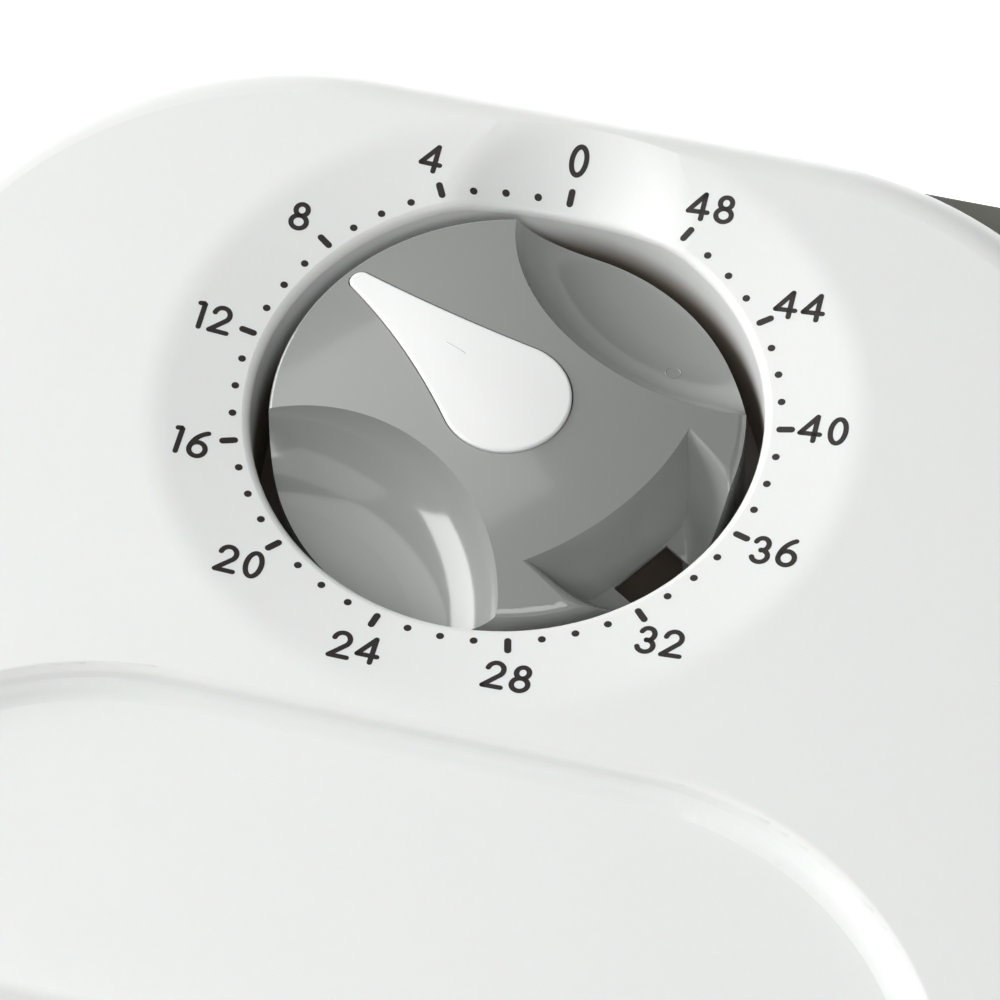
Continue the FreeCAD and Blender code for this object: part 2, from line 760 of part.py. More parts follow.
def make_arbor_pins():
    pins = [on_arbor(rod(pin_radius, case_floor_top - 1.0, case_joint_z - 0.1), third_place),
            on_arbor(rod(pin_radius, case_floor_top - 1.0, case_joint_z - 0.1), second_place),
            on_arbor(rod(rotor_pin_radius, case_floor_top - 1.0, 14.0), rotor_place)]
    return Part.makeCompound(pins)


stator_z = (7.5, 9.1)
stator_left = -28.0
stator_right = 5.0
stator_arm = 3.5
coil_y = -25.0


def make_stator_plate():
    """A flat plate round the rotor's magnet, with two arms that carry the coil's core."""
    x, y = rotor_place
    z0, z1 = stator_z
    plate = fuse(rod(5.6, z0, z1, x, y), box(stator_left, stator_right, y - 2.0, y + 2.0, z0, z1),
                 box(stator_left, stator_left + stator_arm, coil_y - 1.6, y, z0, z1),
                 box(stator_right - stator_arm, stator_right, coil_y - 1.6, y, z0, z1))
    notches = [rod(0.5, z0 - 1, z1 + 1, x + 3.5 * cos(a), y + 3.5 * sin(a)) for a in (0.8, 0.8 + pi)]
    return on_dial(cut(plate, rod(3.5, z0 - 1, z1 + 1, x, y), *notches))


def make_coil_core():
    return on_dial(box(stator_left, stator_right, coil_y - 1.6, coil_y + 1.6, stator_z[1], stator_z[1] + 1.2))


coil_z = stator_z[1] + 0.6
bobbin_left = stator_left + stator_arm + 0.4
bobbin_right = stator_right - stator_arm - 0.4


def along_x(radius, x0, x1):
    return Part.makeCylinder(radius, x1 - x0, V(x0, coil_y, coil_z), V(1, 0, 0))


def core_slot():
    return box(stator_left - 1, stator_right + 1, coil_y - 1.6, coil_y + 1.6, coil_z - 0.6, coil_z + 0.6)


def make_coil_bobbin():
    bobbin = fuse(along_x(2.0, bobbin_left, bobbin_right), along_x(2.7, bobbin_left, bobbin_left + 0.8),
                  along_x(2.7, bobbin_right - 0.8, bobbin_right))
    return on_dial(bobbin.cut(core_slot()))


def make_coil_winding():
    winding = along_x(2.55, bobbin_left + 0.8, bobbin_right - 0.8)
    return on_dial(winding.cut(along_x(2.0, bobbin_left, bobbin_right)))


# ---------------------------------------------------------------- the movement's case
def case_block(inset, z0, z1):
    return slab(case_x[0] + inset, case_x[1] - inset, case_y[0] + inset, case_y[1] - inset,
                (case_corner - inset,) * 4, z0, z1)


def make_movement_case_bottom():
    shell = case_block(0, case_bottom_z, case_joint_z).cut(case_block(1.5, case_floor_top, case_joint_z + 1))
    shell = fuse(shell, *[rod(3.0, case_bottom_z, case_joint_z, x, y) for x, y in case_screw_places],
                 rod(3.4, case_bottom_z, 9.6),
                 rod(1.9, case_bottom_z, 8.2, *third_place), rod(1.9, case_bottom_z, 8.2, *second_place),
                 rod(1.6, case_bottom_z, stator_z[0], stator_right - 1.75, coil_y - 0.5),
                 rod(1.6, case_bottom_z, stator_z[0], stator_left + 1.75, coil_y - 0.5))
    holes = [rod(1.3, 0, 30, x, y) for x, y in case_screw_places]
    holes += [rod(2.2, 0, case_bottom_z + 1.0, x, y) for x, y in case_screw_places]
    holes += [rod(1.6 + running_gap, case_floor_top - 1.3, 12), rod(pin_radius, case_floor_top - 1.0, 12, *third_place),
              rod(pin_radius, case_floor_top - 1.0, 12, *second_place),
              rod(rotor_pin_radius, case_floor_top - 1.0, 12, *rotor_place)]
    return on_dial(cut(shell, *holes))


lever_pivot = (19.6, -17.0)
lever_nose_angle = 4.0
lever_z = (22.3, 24.1)


def make_movement_case_top():
    plate = case_block(0, case_joint_z, case_top_z)
    holes = [rod(1.3, 0, 30, x, y) for x, y in case_screw_places]
    holes += [rod(shaft_radius + running_gap, 0, 30), rod(1.0, 0, 30, *lever_pivot)]
    return on_dial(cut(plate, *holes))


def make_movement_screws():
    places = [(x, y + dial_y) for x, y in case_screw_places]
    return screws(places, case_bottom_z + 1.0, 2.1, 1.0, 1.0, 21.0)


# ---------------------------------------------------------------- the trip lever and its switch
def arm(start, end, half_width, z0, z1):
    """A flat bar with round ends between two points."""
    length = hypot(end[0] - start[0], end[1] - start[1])
    bar = fuse(box(0, length, -half_width, half_width, z0, z1), rod(half_width, z0, z1),
               rod(half_width, z0, z1, length, 0))
    bar.rotate(V(0, 0, 0), UP, direction(start, end))
    bar.translate(V(start[0], start[1], 0))
    return bar


nose_radius = 1.0
nose_gap = 0.35
nose_place = at_polar(cam_radius + nose_gap + nose_radius, lever_nose_angle)
elbow_place = (19.4, -1.5)
tail_place = (12.2, -22.6)


def make_trip_lever():
    z0, z1 = lever_z
    body = fuse(arm(lever_pivot, elbow_place, 1.5, z0, z1), arm(elbow_place, nose_place, nose_radius, z0, z1),
                arm(lever_pivot, tail_place, 1.2, z0, z1), rod(3.0, z0, z1, *lever_pivot))
    return on_dial(body.cut(rod(1.0 + running_gap, z0 - 1, z1 + 1, *lever_pivot)))


def make_lever_pin():
    pin = fuse(rod(1.0, case_joint_z, 24.6, *lever_pivot), rod(1.9, 24.4, 25.0, *lever_pivot))
    return on_dial(pin)


def make_lever_spring():
    """A torsion spring: flat turns round the pin below the lever, and two straight legs."""
    z0 = case_top_z
    coil = tube(2.6, 1.9, z0 + 0.05, z0 + 0.85, *lever_pivot)
    leg_fixed = box(lever_pivot[0] + 0.6, lever_pivot[0] + 6.0, lever_pivot[1] - 2.3, lever_pivot[1] - 1.9,
                    z0 + 0.05, z0 + 0.45)
    leg_moving = box(lever_pivot[0] - 2.4, lever_pivot[0] - 2.0, lever_pivot[1], lever_pivot[1] + 7.5,
                     z0 + 0.45, z0 + 0.85)
    return on_dial(fuse(coil, leg_fixed, leg_moving))


switch_x = (2.0, 9.0)
switch_y = (-29.6, -24.8)


def make_switch_block():
    block = box(switch_x[0], switch_x[1] - 3.0, switch_y[0], switch_y[1], case_top_z, 24.6)
    slots = [box(switch_x[0] - 1, switch_x[1], y, y + 0.3, case_top_z + 0.8, 26) for y in switch_leaf_y]
    return on_dial(cut(block, *slots))


switch_leaf_y = (-28.4, -26.2)


def make_switch_leaves():
    leaves = []
    for y, length in zip(switch_leaf_y, (13.0, 14.4)):
        leaf = box(switch_x[0] + 0.5, switch_x[0] + 0.5 + length, y, y + 0.3, case_top_z + 0.8, 24.2)
        leaves.append(leaf)
    return on_dial(Part.makeCompound(leaves))


# ---------------------------------------------------------------- electronics and battery
board_y = -17.0
board_half_depth = 6.4
board_x = (-31.0, 46.0)
board_bottom = 8.0
board_top = 9.6
board_posts = (-27.0, 43.6)
buzzer_x = 35.3


def make_circuit_board():
    board = box(board_x[0], board_x[1], board_y - board_half_depth, board_y + board_half_depth,
                board_bottom, board_top)
    return cut(board, *[rod(1.1, 0, 20, x, board_y) for x in board_posts])


def make_board_screws():
    group = []
    for x in board_posts:
        screw = pan_screw(1.9, 1.0, 0.8, 4.5)
        screw.rotate(V(0, 0, 0), V(1, 0, 0), 180)
        screw.translate(V(x, board_y, board_top))
        group.append(screw)
    return Part.makeCompound(group)


def make_timer_chip():
    body = box(-5.0, 5.0, board_y - 2.0, board_y + 2.0, board_top + 0.3, board_top + 1.8)
    pins = [box(x - 0.2, x + 0.2, board_y + side * 2.9 - 1.0, board_y + side * 2.9 + 1.0,
                board_top, board_top + 0.7)
            for side in (-1, 1) for x in (-3.8, -1.27, 1.27, 3.8)]
    return fuse(body, *pins)


def make_quartz_crystal():
    can = Part.makeCylinder(1.0, 6.0, V(11.0, board_y, board_top + 1.0), V(1, 0, 0))
    leads = [box(8.6, 11.4, board_y + y - 0.15, board_y + y + 0.15, board_top, board_top + 1.15)
             for y in (-0.45, 0.45)]
    return fuse(can, *leads)


def make_buzzer_case():
    z0 = board_top
    case = tube(6.0, 5.2, z0, z0 + 5.0, buzzer_x, board_y)
    lid = tube(6.0, 1.2, z0 + 4.2, z0 + 5.0, buzzer_x, board_y)
    floor = rod(6.0, z0, z0 + 0.8, buzzer_x, board_y)
    return fuse(case, lid, floor)


def make_buzzer_disc():
    return rod(5.2, board_top + 2.0, board_top + 2.4, buzzer_x, board_y)


def make_battery_cell():
    x0 = -battery_half_length
    body = Part.makeCylinder(battery_radius, 2 * battery_half_length - 1.0, V(x0, battery_y, battery_z), V(1, 0, 0))
    body = body.makeFillet(0.6, edges_near(body, lambda p, e: abs(abs(p.x + 0.5) - battery_half_length + 0.5) < 0.01))
    nub = Part.makeCylinder(2.7, 1.6, V(battery_half_length - 1.2, battery_y, battery_z), V(1, 0, 0))
    return fuse(body, nub)


def contact_plate(x0, x1):
    return box(x0, x1, battery_y - 6.4, battery_y + 6.4, tray_floor + 0.1, battery_z + 6.0)


def contact_tail(x0, x1):
    """A strip over the holder's wall down to the circuit board."""
    top = battery_z + 6.0
    reach = board_y - 3.0
    over = box(x0, x1, battery_y, reach, top - 0.4, top)
    down = box(x0, x1, reach - 0.4, reach, board_top, top)
    return fuse(over, down)


def make_battery_contact_positive():
    x1 = battery_half_length + 2.4
    return fuse(contact_plate(x1 - 0.4, x1), contact_tail(x1 - 0.4, x1 + 2.0))


def make_battery_contact_negative():
    """A plate with a cone of three rings that press on the cell's flat end."""
    x0 = -battery_half_length - 2.4
    plate = fuse(contact_plate(x0, x0 + 0.4), contact_tail(x0 - 2.0, x0 + 0.4))
    rings = []
    for index in range(3):
        radius = 5.0 - 1.1 * index
        start = x0 + 0.4 + 0.65 * index
        outer = Part.makeCylinder(radius, 0.68, V(start, battery_y, battery_z), V(1, 0, 0))
        inner = Part.makeCylinder(radius - 1.3, 2.0, V(start - 0.5, battery_y, battery_z), V(1, 0, 0))
        rings.append(outer.cut(inner))
    return fuse(plate, *rings)


# ---------------------------------------------------------------- all the pieces
pieces = {
    "top_cover": make_top_cover,
    "base_tray": make_base_tray,
    "rubber_feet": make_rubber_feet,
    "battery_door": make_battery_door,
    "knob": make_knob,
    "knob_pointer": make_knob_pointer,
    "output_shaft": make_output_shaft,
    "trip_cam": make_trip_cam,
    "retaining_ring": make_retaining_ring,
    "clutch_spring": make_clutch_spring,
    "output_wheel": make_output_wheel,
    "third_wheel": make_third_wheel,
    "second_wheel": make_second_wheel,
    "rotor": make_rotor,
    "rotor_magnet": make_rotor_magnet,
    "arbor_pins": make_arbor_pins,
    "stator_plate": make_stator_plate,
    "coil_core": make_coil_core,
    "coil_bobbin": make_coil_bobbin,
    "coil_winding": make_coil_winding,
    "movement_case_bottom": make_movement_case_bottom,
    "movement_case_top": make_movement_case_top,
    "movement_screws": make_movement_screws,
    "trip_lever": make_trip_lever,
    "lever_pin": make_lever_pin,
    "lever_spring": make_lever_spring,
    "switch_block": make_switch_block,
    "switch_leaves": make_switch_leaves,
    "circuit_board": make_circuit_board,
    "board_screws": make_board_screws,
    "timer_chip": make_timer_chip,
    "quartz_crystal": make_quartz_crystal,
    "buzzer_case": make_buzzer_case,
    "buzzer_disc": make_buzzer_disc,
    "battery_cell": make_battery_cell,
    "battery_contact_positive": make_battery_contact_positive,
    "battery_contact_negative": make_battery_contact_negative,
}

os.makedirs("parts", exist_ok=True)
for name, make in pieces.items():
    write(name, make())
case_screws = screws(boss_places, 5.2, 3.1, 1.8, 1.25, 16.0)
write("case_screws", case_screws)
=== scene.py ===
import json
from math import cos, pi, radians, sin

import bmesh
import bpy
from mathutils import Matrix, Vector
from mathutils.bvhtree import BVHTree

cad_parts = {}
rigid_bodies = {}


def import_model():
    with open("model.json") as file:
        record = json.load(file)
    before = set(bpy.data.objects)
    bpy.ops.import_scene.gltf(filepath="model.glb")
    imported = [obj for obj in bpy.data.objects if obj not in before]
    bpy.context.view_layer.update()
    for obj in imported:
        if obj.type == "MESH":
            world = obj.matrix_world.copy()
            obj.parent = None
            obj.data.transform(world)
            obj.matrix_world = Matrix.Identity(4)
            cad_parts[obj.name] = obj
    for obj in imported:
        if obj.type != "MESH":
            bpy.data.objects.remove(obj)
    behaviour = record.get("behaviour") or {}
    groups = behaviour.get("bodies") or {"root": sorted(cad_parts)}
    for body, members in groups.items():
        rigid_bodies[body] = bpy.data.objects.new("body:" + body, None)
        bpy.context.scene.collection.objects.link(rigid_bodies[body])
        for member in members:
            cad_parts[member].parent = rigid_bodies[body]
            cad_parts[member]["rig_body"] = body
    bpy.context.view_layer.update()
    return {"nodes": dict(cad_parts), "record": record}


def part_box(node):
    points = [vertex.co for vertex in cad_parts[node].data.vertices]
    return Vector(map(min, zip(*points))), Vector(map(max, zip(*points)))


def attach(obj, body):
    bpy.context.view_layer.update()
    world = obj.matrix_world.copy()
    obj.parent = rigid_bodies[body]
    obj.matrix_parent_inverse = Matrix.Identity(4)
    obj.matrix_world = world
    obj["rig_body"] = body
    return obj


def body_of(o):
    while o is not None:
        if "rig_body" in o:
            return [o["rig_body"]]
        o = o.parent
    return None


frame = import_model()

# The looks of the dial timer: materials, the printed scale, small moulding marks, light and camera.
# Metres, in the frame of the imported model. The dial's axis and its plane of marks come from the model.

nodes = frame["nodes"]
MM = 0.001

knob_low, knob_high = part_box("knob")
dial_centre = Vector(((knob_low.x + knob_high.x) / 2, (knob_low.y + knob_high.y) / 2, 0))
flat_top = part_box("top_cover")[1].z
marks_z = flat_top - 1.05 * MM       # the ring of marks lies this far down the dish
scale_turn = radians(0.82)           # the scale stands a little anticlockwise of the cover

divisions = 52
unit = 2 * pi / divisions
numbered_every = 4
last_number = 48
marks_radius = 28.0 * MM
well_radius = 26.3 * MM
bar_radius = 28.5 * MM
numeral_radius = 32.4 * MM


# ---------------------------------------------------------------- materials
def new_material(name):
    material = bpy.data.materials.new(name)
    material.use_nodes = True
    tree = material.node_tree
    shader = tree.nodes["Principled BSDF"]
    return material, tree, shader


def noise(tree, scale, detail=3.0, stretch=(1, 1, 1)):
    """Noise in the object's own space, so that it is the same size on every piece."""
    place = tree.nodes.new("ShaderNodeTexCoord")
    mapping = tree.nodes.new("ShaderNodeMapping")
    mapping.inputs["Scale"].default_value = stretch
    texture = tree.nodes.new("ShaderNodeTexNoise")
    texture.inputs["Scale"].default_value = scale
    texture.inputs["Detail"].default_value = detail
    tree.links.new(place.outputs["Object"], mapping.inputs["Vector"])
    tree.links.new(mapping.outputs["Vector"], texture.inputs["Vector"])
    return texture.outputs["Fac"]


def spread(tree, value, low, high):
    """Maps noise to the range from low to high."""
    node = tree.nodes.new("ShaderNodeMapRange")
    node.inputs["From Min"].default_value = 0.3
    node.inputs["From Max"].default_value = 0.7
    node.inputs["To Min"].default_value = low
    node.inputs["To Max"].default_value = high
    tree.links.new(value, node.inputs["Value"])
    return node.outputs["Result"]


def tinted(tree, shader, colour, variation, value):
    """Base colour that drifts a little lighter and darker with a noise value."""
    mix = tree.nodes.new("ShaderNodeMix")
    mix.data_type = "RGBA"
    dark = [c * (1 - variation) for c in colour]
    light = [min(1.0, c * (1 + variation)) for c in colour]
    mix.inputs["A"].default_value = (*dark, 1)
    mix.inputs["B"].default_value = (*light, 1)
    tree.links.new(value, mix.inputs["Factor"])
    tree.links.new(mix.outputs["Result"], shader.inputs["Base Color"])


def bumped(tree, shader, height, strength, distance):
    bump = tree.nodes.new("ShaderNodeBump")
    bump.inputs["Strength"].default_value = strength
    bump.inputs["Distance"].default_value = distance
    tree.links.new(height, bump.inputs["Height"])
    tree.links.new(bump.outputs["Normal"], shader.inputs["Normal"])


def plastic(name, colour, roughness, grain_scale=900.0, grain=0.05, grain_depth=0.00002,
            variation=0.02, coat=0.0, soft=0.0):
    """Moulded plastic: slight colour drift, uneven gloss, and the fine grain of the mould."""
    material, tree, shader = new_material(name)
    tinted(tree, shader, colour, variation, noise(tree, 35.0))
    gloss = spread(tree, noise(tree, 120.0), roughness * 0.85, roughness * 1.15)
    tree.links.new(gloss, shader.inputs["Roughness"])
    bumped(tree, shader, noise(tree, grain_scale, 2.0), grain, grain_depth)
    shader.inputs["IOR"].default_value = 1.5
    shader.inputs["Coat Weight"].default_value = coat
    shader.inputs["Coat Roughness"].default_value = 0.06
    shader.inputs["Subsurface Weight"].default_value = soft
    shader.inputs["Subsurface Scale"].default_value = 0.002
    return material


def metal(name, colour, roughness, stretch=(1, 1, 12), grain=0.1):
    """Metal with a drawn or rolled grain along one direction."""
    material, tree, shader = new_material(name)
    shader.inputs["Metallic"].default_value = 1.0
    tinted(tree, shader, colour, 0.06, noise(tree, 200.0))
    streaks = noise(tree, 900.0, 4.0, stretch)
    gloss = spread(tree, streaks, roughness * 0.7, roughness * 1.3)
    tree.links.new(gloss, shader.inputs["Roughness"])
    bumped(tree, shader, streaks, grain, 0.00001)
    return material


def ink(name):
    """Screen ink: near black, slightly brown, a little uneven in gloss."""
    return plastic(name, (0.022, 0.017, 0.015), 0.42, 1500.0, 0.05, 0.00001, 0.15)


def winding(name):
    """Enamelled wire seen as fine turns round the coil's axis."""
    material, tree, shader = new_material(name)
    shader.inputs["Metallic"].default_value = 0.9
    shader.inputs["Roughness"].default_value = 0.3
    place = tree.nodes.new("ShaderNodeTexCoord")
    wave = tree.nodes.new("ShaderNodeTexWave")
    wave.bands_direction = "X"
    wave.inputs["Scale"].default_value = 2200.0
    wave.inputs["Distortion"].default_value = 0.4
    tree.links.new(place.outputs["Object"], wave.inputs["Vector"])
    tinted(tree, shader, (0.62, 0.24, 0.09), 0.3, wave.outputs["Fac"])
    bumped(tree, shader, wave.outputs["Fac"], 0.4, 0.00005)
    return material


def board(name):
    """Green solder mask with copper tracks that show through as slightly raised, paler lines."""
    material, tree, shader = new_material(name)
    place = tree.nodes.new("ShaderNodeTexCoord")
    brick = tree.nodes.new("ShaderNodeTexBrick")
    brick.inputs["Scale"].default_value = 260.0
    brick.inputs["Color1"].default_value = (0.010, 0.085, 0.035, 1)
    brick.inputs["Color2"].default_value = (0.012, 0.100, 0.042, 1)
    brick.inputs["Mortar"].default_value = (0.030, 0.190, 0.085, 1)
    brick.inputs["Mortar Size"].default_value = 0.03
    tree.links.new(place.outputs["Object"], brick.inputs["Vector"])
    tree.links.new(brick.outputs["Color"], shader.inputs["Base Color"])
    bumped(tree, shader, brick.outputs["Fac"], 0.3, 0.00003)
    gloss = spread(tree, noise(tree, 300.0), 0.22, 0.34)
    tree.links.new(gloss, shader.inputs["Roughness"])
    return material


white = (0.80, 0.815, 0.80)
materials = {
    "cover_white": plastic("cover_white", white, 0.34, 2600.0, 0.03, 0.00001, 0.006, 0.0, 0.15),
    "tray_grey": plastic("tray_grey", (0.135, 0.135, 0.118), 0.55, 2200.0, 0.35, 0.00004, 0.05),
    "knob_grey": plastic("knob_grey", (0.285, 0.295, 0.285), 0.13, 420.0, 0.04, 0.00001, 0.015, 0.3),
    "pointer_white": plastic("pointer_white", (0.82, 0.83, 0.82), 0.22, 700.0, 0.04, 0.00001, 0.01, 0.1, 0.1),
    "foot_rubber": plastic("foot_rubber", (0.028, 0.028, 0.028), 0.75, 1800.0, 0.6, 0.00006, 0.15),
    "screw_steel": metal("screw_steel", (0.52, 0.53, 0.55), 0.32),
    "spring_steel": metal("spring_steel", (0.60, 0.60, 0.61), 0.22, (12, 1, 1)),
    "wheel_acetal": plastic("wheel_acetal", (0.80, 0.78, 0.70), 0.38, 800.0, 0.08, 0.00002, 0.03, 0.0, 0.2),
    "shaft_acetal": plastic("shaft_acetal", (0.62, 0.63, 0.62), 0.36, 800.0, 0.08, 0.00002, 0.03),
    "cam_red": plastic("cam_red", (0.50, 0.045, 0.025), 0.32, 800.0, 0.08, 0.00002, 0.05),
    "case_black": plastic("case_black", (0.022, 0.022, 0.024), 0.45, 1600.0, 0.3, 0.00003, 0.10),
    "pin_brass": metal("pin_brass", (0.72, 0.50, 0.20), 0.25),
    "magnet_grey": metal("magnet_grey", (0.14, 0.14, 0.15), 0.55, (1, 1, 1), 0.3),
    "motor_steel": metal("motor_steel", (0.48, 0.49, 0.50), 0.35, (14, 1, 1)),
    "winding_copper": winding("winding_copper"),
    "board_green": board("board_green"),
    "chip_black": plastic("chip_black", (0.018, 0.018, 0.019), 0.5, 2400.0, 0.4, 0.00002, 0.12),
    "can_metal": metal("can_metal", (0.72, 0.72, 0.73), 0.2),
    "contact_nickel": metal("contact_nickel", (0.68, 0.66, 0.60), 0.18, (1, 12, 1)),
    "battery_jacket": plastic("battery_jacket", (0.055, 0.075, 0.12), 0.25, 600.0, 0.05, 0.00002, 0.08, 0.4),
    "buzzer_brass": metal("buzzer_brass", (0.74, 0.55, 0.24), 0.24, (1, 8, 1)),
}

# Painted shade: the well's wall is darkened in its base colour below the lip, where the gap round the knob
# lies in shadow.
painted_shade_from_depth = 4.6 * MM          # the painted shade leaves the well's wall white down to here, and is full further down
painted_shade_full_depth = 9.6 * MM
painted_shade_colour = (0.20, 0.165, 0.135, 1)


def darken_well(material, node):
    """Painted shade in the base colour: the wall of the knob's well turns from white to a dark brown below its
    lip, standing in for the shadow in the gap round the knob.
    """
    tree = material.node_tree
    shader = next(n for n in tree.nodes if n.type == "BSDF_PRINCIPLED")
    clean = shader.inputs["Base Color"].links[0].from_socket
    place = tree.nodes.new("ShaderNodeTexCoord")
    centre = node.matrix_world.inverted() @ dial_centre
    from_axis = tree.nodes.new("ShaderNodeVectorMath")
    from_axis.operation = "SUBTRACT"
    from_axis.inputs[1].default_value = (centre.x, centre.y, 0)
    tree.links.new(place.outputs["Object"], from_axis.inputs[0])
    split = tree.nodes.new("ShaderNodeSeparateXYZ")
    tree.links.new(from_axis.outputs["Vector"], split.inputs["Vector"])
    level = tree.nodes.new("ShaderNodeVectorMath")
    level.operation = "MULTIPLY"
    level.inputs[1].default_value = (1, 1, 0)
    tree.links.new(from_axis.outputs["Vector"], level.inputs[0])
    radius = tree.nodes.new("ShaderNodeVectorMath")
    radius.operation = "LENGTH"
    tree.links.new(level.outputs["Vector"], radius.inputs[0])
    inside = tree.nodes.new("ShaderNodeMath")
    inside.operation = "LESS_THAN"
    inside.inputs[1].default_value = well_radius + 0.3 * MM
    tree.links.new(radius.outputs["Value"], inside.inputs[0])
    depth = tree.nodes.new("ShaderNodeMapRange")
    depth.interpolation_type = "SMOOTHSTEP"
    depth.inputs["From Min"].default_value = centre.z + flat_top - painted_shade_from_depth
    depth.inputs["From Max"].default_value = centre.z + flat_top - painted_shade_full_depth
    tree.links.new(split.outputs["Z"], depth.inputs["Value"])
    amount = tree.nodes.new("ShaderNodeMath")
    amount.operation = "MULTIPLY"
    tree.links.new(inside.outputs["Value"], amount.inputs[0])
    tree.links.new(depth.outputs["Result"], amount.inputs[1])
    mix = tree.nodes.new("ShaderNodeMix")
    mix.data_type = "RGBA"
    tree.links.new(amount.outputs["Value"], mix.inputs["Factor"])
    tree.links.new(clean, mix.inputs["A"])
    mix.inputs["B"].default_value = painted_shade_colour
    tree.links.new(mix.outputs["Result"], shader.inputs["Base Color"])


# paint the shade of the knob's well into the cover's colour
darken_well(materials["cover_white"], nodes["top_cover"])

for part in frame["record"]["subparts"]:
    mesh = nodes[part["node"]].data
    for index in range(max(1, len(mesh.materials))):
        if index < len(mesh.materials):
            mesh.materials[index] = materials[part["material_slot"]]
        else:
            mesh.materials.append(materials[part["material_slot"]])


# ---------------------------------------------------------------- the printed scale
def surface_of(node):
    """A search tree of a CAD node's faces, to lay print and marks on its surface."""
    mesh = nodes[node].data
    mesh.calc_loop_triangles()
    points = [v.co.copy() for v in mesh.vertices]
    return BVHTree.FromPolygons(points, [tuple(t.vertices) for t in mesh.loop_triangles])


cover_surface = surface_of("top_cover")
knob_surface = surface_of("knob")
pointer_surface = surface_of("knob_pointer")


def height_at(surface, x, y):
    hit = surface.ray_cast(Vector((x, y, 0.2)), Vector((0, 0, -1)))
    return hit[0].z


def line_points(x0, y0, x1, y1, steps=6):
    return [(x0 + (x1 - x0) * i / steps, y0 + (y1 - y0) * i / steps) for i in range(steps + 1)]


def arc_points(cx, cy, rx, ry, start, end, steps=20):
    turn = [radians(start + (end - start) * i / steps) for i in range(steps + 1)]
    return [(cx + rx * cos(a), cy + ry * sin(a)) for a in turn]


def digit_strokes(digit):
    """The strokes of a plain rounded numeral, one unit high, and its width: 0 to 4, 6 and, last, 8."""
    if digit == "0":
        return [arc_points(0.31, 0.5, 0.26, 0.5, 90, 450, 36)], 0.62
    if digit == "1":
        return [line_points(0.22, 0.0, 0.22, 1.0) + line_points(0.22, 1.0, 0.06, 0.97, 3)], 0.30
    if digit == "2":
        top = arc_points(0.30, 0.71, 0.27, 0.29, 172, -42)
        return [top + line_points(top[-1][0], top[-1][1], 0.0, 0.0), line_points(0.0, 0.0, 0.62, 0.0)], 0.62
    if digit == "3":
        return [arc_points(0.28, 0.745, 0.23, 0.255, 160, -90),
                arc_points(0.28, 0.255, 0.27, 0.255, 90, -165)], 0.58
    if digit == "4":
        return [line_points(0.50, 0.0, 0.50, 1.0), line_points(0.50, 1.0, 0.0, 0.28),
                line_points(0.0, 0.28, 0.68, 0.28)], 0.68
    if digit == "6":
        return [arc_points(0.31, 0.29, 0.28, 0.29, 90, 450, 30),
                arc_points(0.86, 0.24, 0.83, 0.86, 172, 114, 14)], 0.62
    return [arc_points(0.30, 0.765, 0.215, 0.235, -90, 270, 28),
            arc_points(0.30, 0.265, 0.275, 0.265, 90, 450, 30)], 0.60


def add_stroke(bm, surface, path, half_width, lift, sink):
    """A ribbon along a path, laid on a surface: its top stands lift above it and its foot sink below."""
    closed = (Vector(path[0]) - Vector(path[-1])).length < half_width * 0.2
    points = [Vector(p) for p in path]
    if closed:
        points = points[:-1]
    count = len(points)
    left, right = [], []
    for i, point in enumerate(points):
        before = points[(i - 1) % count] if closed or i > 0 else point
        after = points[(i + 1) % count] if closed or i < count - 1 else point
        along = (after - before).normalized()
        side = Vector((-along.y, along.x)) * half_width
        left.append(point + side)
        right.append(point - side)
    if closed:
        add_band(bm, surface, left, right, lift, sink)
        return
    ends = 8
    outline = list(left)
    outline += round_end(points[-1], left[-1], ends)
    outline += list(reversed(right))
    outline += round_end(points[0], right[0], ends)
    add_prism(bm, surface, left, right, outline, lift, sink)


def round_end(centre, start, steps):
    """Points half a turn clockwise from start about centre, without the first and the last."""
    arm = start - centre
    out = []
    for i in range(1, steps):
        a = -pi * i / steps
        out.append(centre + Vector((arm.x * cos(a) - arm.y * sin(a), arm.x * sin(a) + arm.y * cos(a))))
    return out


def lay(bm, surface, point, offset):
    return bm.verts.new((point.x, point.y, height_at(surface, point.x, point.y) + offset))


def add_band(bm, surface, left, right, lift, sink):
    """A closed loop of ribbon."""
    count = len(left)
    rows = [[lay(bm, surface, p, off) for p in row]
            for row, off in ((left, lift), (right, lift), (right, -sink), (left, -sink))]
    for i in range(count):
        j = (i + 1) % count
        for k in range(4):
            a, b = rows[k], rows[(k + 1) % 4]
            bm.faces.new((a[i], a[j], b[j], b[i]))


def add_prism(bm, surface, left, right, outline, lift, sink):
    """A ribbon with ends: quads between the two sides, and a fan at each round end."""
    top = {i: lay(bm, surface, p, lift) for i, p in enumerate(outline)}
    low = {i: lay(bm, surface, p, -sink) for i, p in enumerate(outline)}
    total = len(outline)
    for i in range(total):
        j = (i + 1) % total
        bm.faces.new((top[i], low[i], low[j], top[j]))
    count = len(left)
    end_points = (total - 2 * count) // 2
    right_at = [count + end_points + (count - 1 - i) for i in range(count)]
    for layer, flip in ((top, False), (low, True)):
        for i in range(count - 1):
            quad = [layer[i], layer[i + 1], layer[right_at[i + 1]], layer[right_at[i]]]
            bm.faces.new(quad if flip else list(reversed(quad)))
        cap_a = [layer[k] for k in range(count - 1, count + end_points + 1)]
        cap_b = [layer[k % total] for k in range(2 * count + end_points - 1, total + 1)]
        for cap in (cap_a, cap_b):
            bm.faces.new(cap if flip else list(reversed(cap)))


def finish_mesh(name, bm, material, body, smooth=False):
    bmesh.ops.recalc_face_normals(bm, faces=bm.faces)
    mesh = bpy.data.meshes.new(name)
    bm.to_mesh(mesh)
    bm.free()
    piece = bpy.data.objects.new(name, mesh)
    bpy.context.scene.collection.objects.link(piece)
    mesh.materials.append(material)
    for polygon in mesh.polygons:
        polygon.use_smooth = smooth
    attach(piece, body)


